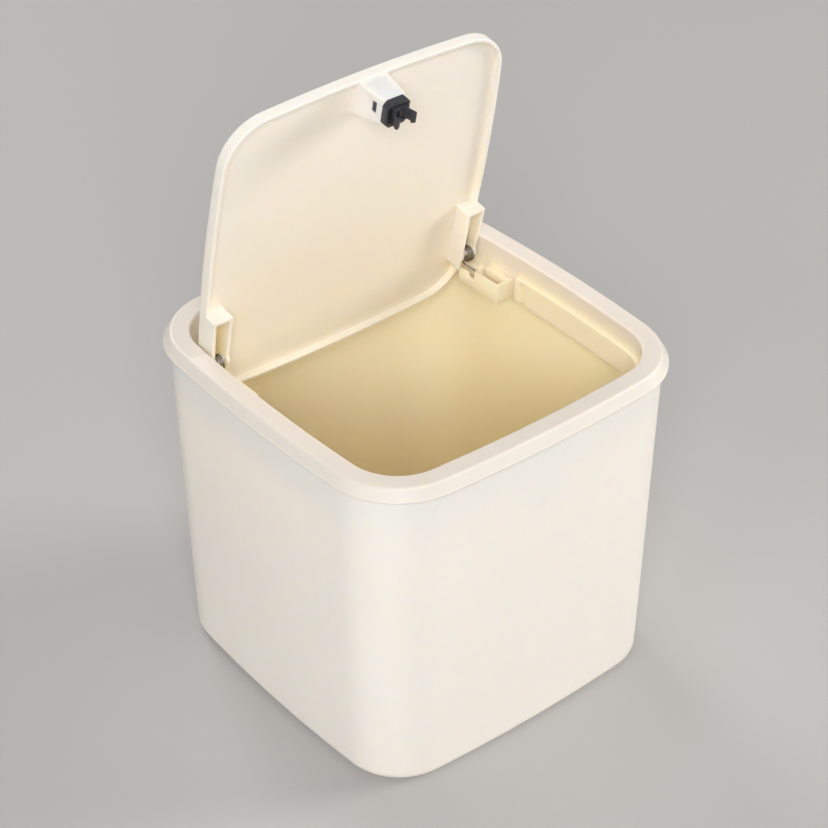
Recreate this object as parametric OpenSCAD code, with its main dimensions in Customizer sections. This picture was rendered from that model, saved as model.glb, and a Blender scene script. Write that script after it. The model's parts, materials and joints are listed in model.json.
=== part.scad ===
// Square countertop bin, about five litres, with a sprung press-to-open lid.
// Millimetres, +Z up, origin at the middle of the base. The front, where the
// latch is, faces -Y, and the hinge runs along X near the back.
// The lid is drawn standing open, which is where its springs hold it.

/* [Bin] */
// Width over the rim, left to right
bin_w = 194.8; // [184:0.2:210]
// Depth over the rim, front to back
bin_d = 197.4; // [188:0.2:212]
// Height from the base to the top of the rim
bin_h = 180; // [165:1:220]
// Radius of the gently bowed sides, seen from above
side_bow_r = 865; // [600:5:1500]
// Corner radius of the rim, seen from above
corner_r = 39; // [34:0.5:45]

/* [Bucket] */
// Wall thickness of the bucket
bucket_wall = 2.2; // [1.6:0.1:2.4]
// Inset of the bucket's wall from the rim's edge, at its top
bucket_inset = 2.9; // [2.8:0.05:3.2]
// How much the wall draws in from top to bottom
bucket_draft = 4.6; // [2:0.1:7]
// Radius of the bucket's bottom edge
base_r = 6.5; // [4:0.5:9]
// Thickness of the bucket's floor
floor_t = 2.5; // [1.8:0.1:3]
// Height of the foot ring that the bucket stands on
foot_h = 1.2; // [0.8:0.1:1.8]
// Width of the clip bead, outwards from the bucket's wall
bead_out = 0.6; // [0.4:0.05:0.7]

/* [Rim] */
// Thickness of the rim's top
rim_t = 2.4; // [1.8:0.1:3]
// Radius of the rim's outer top edge
rim_edge_r = 3.5; // [2:0.1:4.5]
// Height of the rim's outer skirt
skirt_h = 10.5; // [8:0.5:12]
// Thickness of the outer skirt
skirt_t = 1.8; // [1.4:0.1:1.9]
// How much the skirt draws in at its lower edge
skirt_tuck = 1.1; // [0.4:0.1:1.2]
// Width of the rim's top, from its outer edge to the opening
rim_w = 13; // [12:0.5:15]
// Thickness of the wall that hangs inside the opening
collar_t = 2.2; // [1.6:0.1:2.6]
// Depth of that wall below the top of the rim
collar_h = 25; // [22:0.5:32]
// Depth of the ledge below the top of the rim
ledge_down = 12; // [10:0.5:13]
// Width of the ledge
ledge_w = 2; // [1.5:0.1:2]
// Where the ledge ends on each side, forward of the hinge
ledge_end = 41.5; // [36:0.5:47]
// Inner width of the spring trough
trough_w = 6.4; // [5.6:0.1:7]
// Length of the spring trough
trough_len = 17; // [15:0.5:19]
// Depth of the trough's upper edge below the top of the rim
trough_down = 15.5; // [15:0.5:17]
// Depth of the trough's floor below the top of the rim
trough_floor_down = 23; // [22:0.5:24]
// Wall thickness of the trough
trough_wall = 1.4; // [1:0.1:1.6]

/* [Lid] */
// Gap all round between the lid and the opening
lid_gap = 2; // [1.6:0.1:2.4]
// Thickness of the lid's panel
lid_t = 2.7; // [2:0.1:3]
// Height of the lid's edge
lid_edge_h = 6; // [5:0.5:7]
// Thickness of the lid's edge rib
lid_rib_t = 2; // [1.5:0.1:2.4]
// How far the lid stands open, in degrees
open_turn = 78; // [60:1:82]
// Width of a hinge box
box_w = 9.6; // [9:0.1:10.4]
// Wall thickness of a hinge box
box_wall = 1.7; // [1.4:0.1:1.9]
// Length of a hinge box
box_len = 36; // [34:0.5:38]
// Depth of a hinge box below the top of the lid
box_h = 12; // [11:0.25:12.5]

/* [Hinge] */
// Distance of the hinge line from the back of the rim
hinge_from_back = 44.7; // [43:0.1:47]
// Depth of the hinge line below the top of the rim
hinge_down = 9; // [8.5:0.1:9.5]
// Diameter of a hinge pin
pin_d = 4.5; // [4:0.1:4.6]
// Running clearance of a pin in the rim, on the radius
pin_play = 0.05; // [0.02:0.01:0.08]
// Radius of the eye round a hinge pin
eye_r = 5; // [4.4:0.1:5.4]

/* [Springs] */
// Wire diameter of a torsion spring
torsion_wire = 0.9; // [0.7:0.05:0.9]
// Mean diameter of a torsion spring's coil
torsion_d = 8.4; // [8.2:0.1:8.6]
// Whole turns of a torsion spring
torsion_turns = 3; // [2:1:3]
// Distance from turn to turn of a torsion spring
torsion_pitch = 1.34; // [1.34:0.01:1.36]
// Length of the leg that lies in the hinge box
moving_leg = 14; // [10:0.5:18]
// Wire diameter of the latch's spring
latch_wire = 0.5; // [0.4:0.05:0.6]
// Mean diameter of the latch's spring
latch_spring_d = 4.4; // [4:0.1:4.6]
// Turns of the latch's spring
latch_turns = 8; // [6:1:9]

/* [Latch] */
// Distance of the latch's middle from the front of the rim
latch_from_front = 23.2; // [23:0.1:26]
// Width of the latch housing on the lid
housing_w = 12; // [11.6:0.1:12.6]
// Depth of the latch housing, front to back
housing_d = 13.4; // [13:0.1:13.6]
// Wall thickness of the latch housing
housing_wall = 1.2; // [1:0.1:1.3]
// Depth of the housing's end below the top of the lid
housing_h = 21.5; // [20.5:0.5:22]
// Width of the latch housing where it meets the lid
boss_w = 17.4; // [15:0.2:20]
// How far the housing's back leans out where it meets the lid
boss_out = 5.6; // [2:0.2:8]
// Thickness of the latch's collar
flange_t = 3.5; // [3:0.1:3.6]
// Width of the latch's collar
flange_w = 13.1; // [12.8:0.1:14]
// Travel of the plunger
plunger_travel = 2.5; // [2:0.1:2.5]
// Thickness of the jaws, front to back
jaw_t = 5.5; // [4.5:0.1:5.6]
// Length of a jaw below its pin
jaw_len = 8; // [7.8:0.1:8.4]
// Outward turn of each jaw when the plunger is out, in degrees
jaw_turn = 20; // [16:0.5:22]
// Half the distance between the jaws' pins
jaw_x = 1.85; // [1.8:0.05:1.85]
// Diameter of the jaws' pins
jaw_pin_d = 1.4; // [1.2:0.1:1.4]

/* [Hidden] */

cream = "#F1E8DA";
warm_cream = "#E9DECB";
black = "#36363B";
steel = "#5A5B60";

half_w = bin_w / 2;
half_d = bin_d / 2;
side_steps = 4;
corner_steps = 10;
arc_steps = 5;
bite = 0.6;
slack = 0.1;
press = 0.02;

// The outline: four bowed sides with corner arcs that meet them smoothly.
function corner_centre(a, b, rs, rc) =
    let (p = a - rs, q = b - rs, reach = rs - rc)
    let (c0 = (p * p - q * q) / (2 * p), c1 = q / p)
    let (qa = c1 * c1 + 1, qb = 2 * c1 * (c0 - p), qc = (c0 - p) * (c0 - p) - reach * reach)
    let (y = (-qb + sqrt(qb * qb - 4 * qa * qc)) / (2 * qa))
    [c0 + c1 * y, y];
corner = corner_centre(half_w, half_d, side_bow_r, corner_r);
side_turn = atan2(corner.y, corner.x - (half_w - side_bow_r));
end_turn = atan2(corner.y - (half_d - side_bow_r), corner.x);

function arc(centre, r, from, to, steps) =
    [for (i = [0:steps]) let (a = from + (to - from) * i / steps) centre + r * [cos(a), sin(a)]];
function quadrant(inset) = concat(
    [for (i = [0:side_steps - 1]) let (a = side_turn * i / side_steps)
        [half_w - side_bow_r + (side_bow_r - inset) * cos(a), (side_bow_r - inset) * sin(a)]],
    arc(corner, corner_r - inset, side_turn, end_turn, corner_steps),
    [for (i = [1:side_steps]) let (a = end_turn + (90 - end_turn) * i / side_steps)
        [(side_bow_r - inset) * cos(a), half_d - side_bow_r + (side_bow_r - inset) * sin(a)]]);
function outline(inset) =
    let (q = quadrant(inset), n = len(q))
    concat(q, [for (i = [n - 2:-1:0]) [-q[i].x, q[i].y]], [for (i = [1:n - 1]) -q[i]],
        [for (i = [n - 2:-1:1]) [q[i].x, -q[i].y]]);
function side_x(inset, y) = half_w - side_bow_r + sqrt(pow(side_bow_r - inset, 2) - y * y);

// Sweeps a closed profile of (inset from the rim's edge, height) round the outline.
module swept(profile) {
    rings = [for (p = profile) [for (q = outline(p.x)) [q.x, q.y, p.y]]];
    around = len(rings[0]);
    count = len(profile);
    polyhedron(points = [for (r = rings) each r],
        faces = [for (i = [0:count - 1]) for (j = [0:around - 1])
            let (i2 = (i + 1) % count, j2 = (j + 1) % around)
            [i * around + j, i * around + j2, i2 * around + j2, i2 * around + j]]);
}
module band(outer, inner, z, t)
    translate([0, 0, z]) linear_extrude(t) difference() {
        polygon(outline(outer));
        polygon(outline(inner));
    }
module block(low, high) translate(low) cube(high - low);
module rod_x(from, to, y, z, r)
    translate([from, y, z]) rotate([0, 90, 0]) cylinder(h = to - from, r = r, $fn = 48);
module rod_y(from, to, x, z, r)
    translate([x, from, z]) rotate([-90, 0, 0]) cylinder(h = to - from, r = r, $fn = 48);

// Wire: one unbroken tube of six sides along a path.
function unit(v) = v / norm(v);
function heading(path, i) =
    unit(path[min(i + 1, len(path) - 1)] - path[max(i - 1, 0)]);
wire_sides = 6;
module wire(path, r, ref) {
    n = len(path);
    points = [for (i = [0:n - 1])
        let (t = heading(path, i), u = unit(cross(t, ref)), v = cross(t, u))
        for (s = [0:wire_sides - 1]) path[i] + r * (cos(60 * s) * u + sin(60 * s) * v)];
    walls = [for (i = [0:n - 2]) for (s = [0:wire_sides - 1])
        let (a = i * wire_sides + s, b = i * wire_sides + (s + 1) % wire_sides)
        each [[a, a + wire_sides, b + wire_sides], [a, b + wire_sides, b]]];
    ends = [for (s = [1:wire_sides - 2]) each [[0, s, s + 1],
        [(n - 1) * wire_sides, (n - 1) * wire_sides + s + 1, (n - 1) * wire_sides + s]]];
    polyhedron(points = points, faces = concat(walls, ends));
}
// Least distance between two stretches of a wire that are not neighbours.
function self_gap(path, d, apart) =
    min([for (i = [0:len(path) - 1 - apart]) for (j = [i + apart:len(path) - 1])
        norm(path[i] - path[j])]) - d;

// Heights and places.
rim_under = bin_h - rim_t;
hinge_y = half_d - hinge_from_back;
hinge_z = bin_h - hinge_down;
lid_inset = rim_w + lid_gap;
lid_under = bin_h - lid_t;
latch_y = -(half_d - latch_from_front);
collar_end = bin_h - collar_h;
ledge_z = bin_h - ledge_down;

// Turns what is drawn with the lid closed to where it stands open.
module opened()
    translate([0, hinge_y, hinge_z]) rotate([-open_turn, 0, 0]) translate([0, -hinge_y, -hinge_z])
        children();
module both_sides() {
    children();
    mirror([1, 0, 0]) children();
}

// Bucket.
function bucket_k(z) = bucket_inset + bucket_draft * (rim_under - z) / rim_under;
wall_lean = atan(bucket_draft / rim_under);
base_k = bucket_k(base_r) + base_r / cos(wall_lean);
floor_top = foot_h + floor_t;
inner_r = base_r - bucket_wall;
foot_w = 3;
floor_lap = 0.8;
floor_reach = 2.2;
bead_down = 3.6;
bead_h = 2;
bead_lead = 0.6;
bead_z = rim_under - bead_down;
module bucket() color(cream) {
    foot_in = base_k + foot_w;
    inner_top_k = bucket_inset + bucket_wall;
    inner_z = floor_top - floor_lap + inner_r;
    inner_k = bucket_k(inner_z) + bucket_wall + inner_r / cos(wall_lean);
    bead_k = bucket_inset - bead_out;
    swept(concat(
        [[inner_top_k, rim_under], [bucket_inset, rim_under], [bead_k + bead_lead / 2, bead_z + bead_h]],
        [[bead_k, bead_z + bead_h - bead_lead], [bead_k, bead_z], [bucket_k(bead_z), bead_z]],
        arc([base_k, base_r], base_r, 180 + wall_lean, 270, arc_steps + 1),
        [[foot_in, 0], [foot_in, floor_top - floor_lap]],
        arc([inner_k, inner_z], inner_r, 270, 180 + wall_lean, arc_steps)));
    translate([0, 0, foot_h]) linear_extrude(floor_t) polygon(outline(base_k - floor_reach));
}

// Rim frame.
collar_out = rim_w - collar_t;
function skirt_k(z) = skirt_tuck * (rim_under - z) / (skirt_h - rim_t);
// Tabs inside the skirt that clip under the bucket's bead, two on each side.
tab_h = 2.3;
tab_z = bead_z - tab_h - 0.2;
tab_w = 16;
tab_play = 0.2;
tab_place = 0.35;
module skirt_tabs()
    intersection() {
        band(skirt_k(tab_z) + skirt_t - bite, bucket_k(tab_z) - tab_play, tab_z, tab_h);
        union() for (s = [-1, 1]) {
            translate([-bin_w, s * half_d * tab_place - tab_w / 2, 0]) cube([2 * bin_w, tab_w, bin_h]);
            translate([s * half_w * tab_place - tab_w / 2, -bin_d, 0]) cube([tab_w, 2 * bin_d, bin_h]);
        }
    }
collar_x = side_x(rim_w, hinge_y);
trough_x = collar_x - trough_w - trough_wall;
coil_room = 10;
trough_back = hinge_y - coil_room;
trough_front = trough_back - trough_len;
trough_floor = bin_h - trough_floor_down;
trough_top = bin_h - trough_down;
low_wall_len = 10.5;
low_wall_h = 1.4;
scoop_r = 3;
scoop_depth = 1.2;
module spring_trough() {
    out_x = side_x(rim_w - collar_t / 2, hinge_y);
    low_top = trough_floor + low_wall_h;
    block([trough_x, trough_front, trough_floor - trough_wall], [out_x, trough_back + low_wall_len, trough_floor]);
    block([trough_x, trough_front, trough_floor - trough_wall], [out_x, trough_front + trough_wall, trough_top]);
    block([trough_x, trough_front, trough_floor - trough_wall], [trough_x + trough_wall, trough_back, trough_top]);
    difference() {
        block([trough_x, trough_back - trough_wall, trough_floor - trough_wall],
            [trough_x + trough_wall, trough_back + low_wall_len, low_top]);
        rod_x(trough_x - 1, trough_x + trough_wall + 1, trough_back + low_wall_len - scoop_r - 1, low_top + scoop_r - scoop_depth, scoop_r);
    }
}
bearing_len = 5.3;
bearing_cap = 0.7;
bearing_end = collar_x + bearing_len;
bracket_w = 20;
bracket_wall = 1.5;
shelf_t = 2.5;
shelf_drop = 38;
shelf_top = bin_h - shelf_drop - shelf_t;
shelf_reach = 5.5;
slot_w = 6.4;
slot_d = 4.4;
module striker_bracket() {
    back_y = -(half_d - rim_w) - bite;
    face_y = -(half_d - rim_w - ledge_w);
    shelf_bottom = shelf_top - shelf_t;
    half = bracket_w / 2;
    web_h = 14;
    block([-half, back_y, shelf_bottom], [half, face_y, ledge_z - 1]);
    difference() {
        block([-half, back_y, shelf_bottom], [half, latch_y + shelf_reach, shelf_top]);
        block([-slot_w / 2, latch_y - slot_d / 2, shelf_bottom - 1], [slot_w / 2, latch_y + slot_d / 2, shelf_top + 1]);
    }
    for (x = [-half, half - bracket_wall]) translate([x, 0, 0]) rotate([90, 0, 90]) linear_extrude(bracket_wall)
        polygon([[back_y + bite, shelf_top - 1], [latch_y + shelf_reach, shelf_top - 1],
            [latch_y + shelf_reach, shelf_top], [face_y - 0.2, shelf_top + web_h], [back_y + bite, shelf_top + web_h]]);
}
module rim_frame() color(warm_cream) {
    edge_z = bin_h - rim_edge_r;
    lip_r = 0.8;
    skirt_z = bin_h - skirt_h;
    difference() {
        union() {
            swept(concat(
                [[skirt_t + 0.1, rim_under], [collar_out, rim_under], [collar_out, collar_end], [rim_w, collar_end]],
                arc([rim_w - lip_r, bin_h - lip_r], lip_r, 0, 90, 2),
                arc([rim_edge_r, edge_z], rim_edge_r, 90, 180, arc_steps),
                [[skirt_tuck, skirt_z], [skirt_tuck + skirt_t - 0.4, skirt_z]]));
            intersection() {
                band(rim_w - bite, rim_w + ledge_w, collar_end, ledge_z - collar_end);
                translate([-bin_w, -bin_d, 0]) cube([2 * bin_w, bin_d + hinge_y - ledge_end, bin_h]);
            }
            both_sides() {
                spring_trough();
                rod_x(collar_x + bite, bearing_end, hinge_y, hinge_z, eye_r);
            }
            striker_bracket();
            skirt_tabs();
        }
        both_sides() {
            rod_x(collar_x - 1, bearing_end - bearing_cap, hinge_y, hinge_z, pin_d / 2 + pin_play);
            ledge_notch();
        }
    }
}
// Small gap under each end of the ledge.
module ledge_notch() {
    notch_len = 8;
    notch_h = 6;
    ledge_t = 2;
    end_y = hinge_y - ledge_end;
    block([side_x(rim_w, 0) - ledge_w - 2, end_y - notch_len, ledge_z - ledge_t - notch_h],
        [side_x(rim_w, end_y) - slack, end_y + 1, ledge_z - ledge_t]);
}

// Latch striker: an arrow-headed tongue that clips into the shelf.
pivot_down = 24.5;
pivot_z = bin_h - pivot_down;
head_gap = 1.8;
head_h = 1.5;
head_w = 4;
post_w = 1.6;
striker_t = 4;
module front_to_back(t) translate([0, latch_y + t / 2, 0]) rotate([90, 0, 0]) linear_extrude(t) children();
module latch_striker() color(black) {
    top = pivot_z - head_gap;
    shoulder = 0.5;
    base_t = 1.5;
    base = [10, 6.4];
    gusset = [2.6, 6];
    leg_in = 1.6;
    leg_out = slot_w / 2 - slack;
    barb_out = leg_out + 0.6;
    barb_h = 2.2;
    barb_z = shelf_top - shelf_t;
    front_to_back(striker_t) {
        polygon([[-head_w / 2, top - head_h], [head_w / 2, top - head_h], [head_w / 2, top - head_h + shoulder],
            [head_w / 4, top], [-head_w / 4, top], [-head_w / 2, top - head_h + shoulder]]);
        translate([-post_w / 2, shelf_top]) square([post_w, top - head_h - shelf_top + bite]);
        for (s = [-1, 1]) {
            polygon([[s * post_w / 2, shelf_top + base_t - bite], [s * (post_w / 2 + gusset.x), shelf_top + base_t - bite],
                [s * post_w / 2, shelf_top + gusset.y]]);
            polygon([[s * leg_in, shelf_top + bite], [s * leg_out, shelf_top + bite], [s * leg_out, barb_z],
                [s * barb_out, barb_z], [s * (leg_out - 0.5), barb_z - barb_h], [s * leg_in, barb_z - barb_h]]);
        }
    }
    block([-base.x / 2, latch_y - base.y / 2, shelf_top], [base.x / 2, latch_y + base.y / 2, shelf_top + base_t]);
}

// Lid.
lid_edge_x = side_x(lid_inset, hinge_y);
box_x = lid_edge_x - box_w;
box_past_hinge = 8;
box_end = hinge_y + box_past_hinge;
box_z = bin_h - box_h;
outer_wall_end = hinge_y + 3;
pin_in_box = 0.4;
pin_end_play = 0.4;
module hinge_box() {
    difference() {
        union() {
            intersection() {
                band(lid_inset, lid_inset + box_wall, box_z, lid_under + bite - box_z);
                block([box_x, box_end - box_len, 0], [half_w, outer_wall_end, bin_h]);
            }
            block([box_x, box_end - box_len, box_z], [box_x + box_wall, box_end, lid_under + bite]);
            block([box_x, box_end - box_len, box_z],
                [side_x(lid_inset, box_end - box_len) - box_wall / 2, box_end - box_len + box_wall, lid_under + bite]);
            rod_x(box_x, box_x + box_wall, hinge_y, hinge_z, eye_r);
            rod_x(lid_edge_x - box_wall, lid_edge_x, hinge_y, hinge_z, eye_r);
        }
        rod_x(box_x - 1, lid_edge_x + 1, hinge_y, hinge_z, pin_d / 2 - press);
    }
}
pocket_w = housing_w - 2 * housing_wall;
pocket_d = housing_d - 2 * housing_wall;
pocket_top = lid_under - 1;
housing_end = bin_h - housing_h;
tab_up = 4;
catch_w = 3;
catch_h = 2;
module latch_boss() {
    front = latch_y - housing_d / 2;
    back = latch_y + housing_d / 2;
    top = lid_under + bite;
    difference() {
        intersection() {
            translate([0, back + boss_out, 0]) rotate([90, 0, 0]) linear_extrude(housing_d + boss_out)
                polygon([[-housing_w / 2, housing_end], [housing_w / 2, housing_end], [boss_w / 2, top], [-boss_w / 2, top]]);
            translate([-boss_w / 2, 0, 0]) rotate([90, 0, 90]) linear_extrude(boss_w)
                polygon([[front, housing_end], [back, housing_end], [back + boss_out, top], [front, top]]);
        }
        block([-pocket_w / 2, latch_y - pocket_d / 2, housing_end - 1], [pocket_w / 2, latch_y + pocket_d / 2, pocket_top]);
        block([-boss_w, latch_y - catch_w / 2, housing_end + tab_up], [boss_w, latch_y + catch_w / 2, housing_end + tab_up + catch_h]);
    }
}
module lid() color(cream) opened() {
    translate([0, 0, lid_under]) linear_extrude(lid_t) polygon(outline(lid_inset));
    band(lid_inset, lid_inset + lid_rib_t, bin_h - lid_edge_h, lid_edge_h - lid_t + bite);
    both_sides() hinge_box();
    latch_boss();
}
module hinge_pin() color(warm_cream)
    rod_x(box_x + pin_in_box, bearing_end - bearing_cap - pin_end_play, hinge_y, hinge_z, pin_d / 2);
module hinge_pin_right() hinge_pin();
module hinge_pin_left() mirror([1, 0, 0]) hinge_pin();

// Torsion springs: one leg down in the trough, the turns round the pin, one leg up the lid's box.
// The coil hangs a little forward of and below its pin.
coil_shift = [-1.1, -0.6];
leg_drop = 24;
leg_lean = 10;
coil_r = torsion_d / 2;
fixed_turn = leg_drop - 90;
moving_turn = 360 * torsion_turns + 90 - leg_lean - open_turn;
coil_steps = ceil((moving_turn - fixed_turn) / 45);
coil_x = box_x + box_wall + torsion_wire / 2 + 0.35;
trough_leg_x = trough_x + trough_wall + torsion_wire / 2 + 0.6;
leg_steps = [8.6, 7.8, 4.4, 3.6];
function on_coil(a) = [hinge_y, hinge_z] + coil_shift + coil_r * [cos(a), sin(a)];
function on_fixed_leg(x, s) = let (c = on_coil(fixed_turn)) [x, c.x - s * cos(leg_drop), c.y - s * sin(leg_drop)];
fixed_leg = (on_coil(fixed_turn).y - trough_floor - torsion_wire / 2) / sin(leg_drop);
torsion_path = concat(
    [on_fixed_leg(trough_leg_x, fixed_leg), on_fixed_leg(trough_leg_x, leg_steps[0])],
    [on_fixed_leg(trough_leg_x - 0.2, leg_steps[1]), on_fixed_leg(coil_x + 0.2, leg_steps[2]), on_fixed_leg(coil_x, leg_steps[3])],
    [for (i = [0:coil_steps]) let (a = fixed_turn + (moving_turn - fixed_turn) * i / coil_steps, c = on_coil(a))
        [coil_x + torsion_pitch * (a - fixed_turn) / 360, c.x, c.y]],
    [for (s = [moving_leg / 2, moving_leg]) let (a = moving_turn, c = on_coil(a))
        [coil_x + torsion_pitch * (a - fixed_turn) / 360, c.x - s * sin(a), c.y + s * cos(a)]]);
module torsion_spring() color(steel) wire(torsion_path, torsion_wire / 2, [1, 0, 0]);
module torsion_spring_right() torsion_spring();
module torsion_spring_left() mirror([1, 0, 0]) torsion_spring();

// Touch latch: case, sprung plunger and two jaws.
shank_w = 7;
shank_d = 8.4;
roof_t = 1;
case_roof = pocket_top - 1;
cavity_top = case_roof - roof_t;
jaw_side_play = 0.15;
flange_d = housing_d;
flange_bottom = housing_end - flange_t;
channel_w = 1.2;
channel_d = 0.75;
mouth_w = 10;
mouth_d = 9;
mouth_depth = 2.7;
module latch_case() color(black) opened() {
    chamfer = 2.2;
    w = flange_w / 2;
    d = flange_d / 2;
    difference() {
        union() {
            block([-pocket_w / 2 + slack, latch_y - pocket_d / 2 + slack, flange_bottom],
                [pocket_w / 2 - slack, latch_y + pocket_d / 2 - slack, case_roof]);
            translate([0, latch_y, flange_bottom]) linear_extrude(flange_t)
                polygon([[-w + chamfer, -d], [w - chamfer, -d], [w, -d + chamfer], [w, d - chamfer],
                    [w - chamfer, d], [-w + chamfer, d], [-w, d - chamfer], [-w, -d + chamfer]]);
            for (s = [-1, 1]) translate([s * (pocket_w / 2 + 0.3), latch_y, housing_end + tab_up + catch_h / 2])
                cube([2 * bite, catch_w - 2 * slack, catch_h - 2 * slack], center = true);
        }
        block([-shank_w / 2 - slack, latch_y - shank_d / 2 - slack, flange_bottom - 1],
            [shank_w / 2 + slack, latch_y + shank_d / 2 + slack, cavity_top]);
        block([-mouth_w / 2, latch_y - mouth_d / 2, flange_bottom - 1], [mouth_w / 2, latch_y + mouth_d / 2, flange_bottom + mouth_depth]);
        block([-channel_w / 2, latch_y, housing_end + 0.5], [channel_w / 2, latch_y + shank_d / 2 + channel_d, cavity_top]);
    }
}
shank_top = housing_end + 6.5;
shank_bottom = pivot_z - 1.9;
cup_depth = 6;
slot_top = pivot_z + 1.8;
cheek_in = jaw_t / 2 + jaw_side_play;
track_low = shank_top - 7;
track_h = 1.6;
track_depth = 0.8;
track_half = 1.9;
module latch_plunger() color(black) opened() {
    difference() {
        block([-shank_w / 2, latch_y - shank_d / 2, shank_bottom], [shank_w / 2, latch_y + shank_d / 2, shank_top]);
        block([-shank_w, latch_y - cheek_in, shank_bottom - 1], [shank_w, latch_y + cheek_in, slot_top]);
        translate([0, latch_y, shank_top - cup_depth]) cylinder(h = cup_depth + 1, d = latch_spring_d + latch_wire + 0.6, $fn = 48);
        for (x = [-jaw_x, jaw_x]) rod_y(latch_y - shank_d, latch_y + shank_d, x, pivot_z, jaw_pin_d / 2 - press);
        // cam track on the back face: two runs joined by a sloped step
        translate([0, latch_y + shank_d / 2 + 1, 0]) rotate([90, 0, 0]) linear_extrude(1 + track_depth)
            polygon([[-track_half, track_low], [-0.6, track_low - track_h / 2], [0.6, track_low], [track_half, track_low + 1],
                [track_half, track_low + 1 + track_h], [0.7, shank_top + 1], [-0.7, shank_top + 1], [-track_half, track_low + 2 * track_h]]);
    }
}
// Wire follower that hangs in the case's channel and ends in the plunger's track.
module cam_pin() color(steel) opened() {
    r = 0.3;
    foot = 1.05;
    back_y = latch_y + shank_d / 2 + r + slack;
    low_z = shank_top - 4;
    translate([0, back_y, low_z - r]) cylinder(h = cavity_top - low_z + r, r = r, $fn = 24);
    rod_y(back_y - foot, back_y, 0, low_z, r);
}
latch_spring_low = shank_top - cup_depth;
latch_rise = cavity_top - latch_spring_low - latch_wire;
latch_path = [for (i = [0:8 * latch_turns]) let (a = 45 * i, r = latch_spring_d / 2)
    [r * cos(a), latch_y + r * sin(a), latch_spring_low + latch_wire / 2 + latch_rise * i / (8 * latch_turns)]];
module latch_spring() color(steel) opened() wire(latch_path, latch_wire / 2, [0, 0, 1]);
module jaw_pins() color(steel) opened()
    for (x = [-jaw_x, jaw_x]) rod_y(latch_y - shank_d / 2 + slack, latch_y + shank_d / 2 - slack, x, pivot_z, jaw_pin_d / 2);
module jaw() {
    bore_r = jaw_pin_d / 2 + 0.06;
    eye = 1.4;
    arm_in = 0.45;
    arm_out = 1.6;
    hook_in = -0.75;
    hook_z = -(head_gap + head_h + plunger_travel + 0.3);
    translate([jaw_x, 0, pivot_z]) rotate([0, -jaw_turn, 0]) difference() {
        union() {
            rod_y(latch_y - jaw_t / 2, latch_y + jaw_t / 2, 0, 0, eye);
            front_to_back(jaw_t) polygon([[0.2, -0.6], [0.8, -0.4], [arm_out, -2.4], [arm_out, -jaw_len + 0.8],
                [arm_out - 0.8, -jaw_len], [hook_in, hook_z - 0.6], [hook_in, hook_z], [arm_in, hook_z + 0.2], [arm_in, -2]]);
        }
        rod_y(latch_y - jaw_t, latch_y + jaw_t, 0, 0, bore_r);
    }
}
module jaw_right() color(black) opened() jaw();
module jaw_left() color(black) opened() mirror([1, 0, 0]) jaw();

echo(torsion_spring_self_gap_mm = self_gap(torsion_path, torsion_wire, 6));
echo(latch_spring_self_gap_mm = self_gap(latch_path, latch_wire, 6));

bucket();
rim_frame();
latch_striker();
lid();
hinge_pin_left();
hinge_pin_right();
torsion_spring_left();
torsion_spring_right();
latch_case();
cam_pin();
latch_spring();
latch_plunger();
jaw_pins();
jaw_left();
jaw_right();
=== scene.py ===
"""Square countertop bin with a press-to-open lid, as photographed: lid standing open.

Lengths are in millimetres, and MM turns them to metres where a mesh is made. An inset is a distance inwards
from the outline that the bucket, the rim and the lid share. The lid and the latch's tabs are drawn closed and
then turned open.
"""
import json
from math import atan2, ceil, cos, degrees, hypot, pi, radians, sin, sqrt, tan

import bmesh
import bpy
from mathutils import Matrix, Vector


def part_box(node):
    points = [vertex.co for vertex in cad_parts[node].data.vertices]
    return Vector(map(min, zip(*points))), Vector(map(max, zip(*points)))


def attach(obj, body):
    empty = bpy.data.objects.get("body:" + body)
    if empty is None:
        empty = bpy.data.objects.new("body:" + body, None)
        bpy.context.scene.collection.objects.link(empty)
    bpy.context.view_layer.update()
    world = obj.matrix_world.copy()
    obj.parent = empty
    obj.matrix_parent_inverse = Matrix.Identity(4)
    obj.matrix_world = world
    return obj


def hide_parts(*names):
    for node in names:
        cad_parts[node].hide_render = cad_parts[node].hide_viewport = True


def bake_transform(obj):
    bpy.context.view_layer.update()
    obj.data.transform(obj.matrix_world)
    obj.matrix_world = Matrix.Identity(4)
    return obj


MM = 0.001

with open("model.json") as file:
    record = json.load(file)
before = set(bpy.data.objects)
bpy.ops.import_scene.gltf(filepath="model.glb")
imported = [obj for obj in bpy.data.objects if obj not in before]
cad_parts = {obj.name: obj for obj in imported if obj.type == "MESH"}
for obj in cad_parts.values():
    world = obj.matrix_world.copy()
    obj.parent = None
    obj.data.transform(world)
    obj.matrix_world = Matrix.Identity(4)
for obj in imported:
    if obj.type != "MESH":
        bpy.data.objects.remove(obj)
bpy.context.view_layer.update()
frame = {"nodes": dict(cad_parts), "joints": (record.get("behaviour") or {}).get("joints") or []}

# ---------------------------------------------------------------- sizes, in millimetres
rim_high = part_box("rim_frame")[1]
HALF_W = rim_high.x / MM
HALF_D = rim_high.y / MM
BIN_H = rim_high.z / MM
SIDE_BOW_R = 865.0
CORNER_R = 39.0
SIDE_STEPS = 12
CORNER_STEPS = 16

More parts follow.
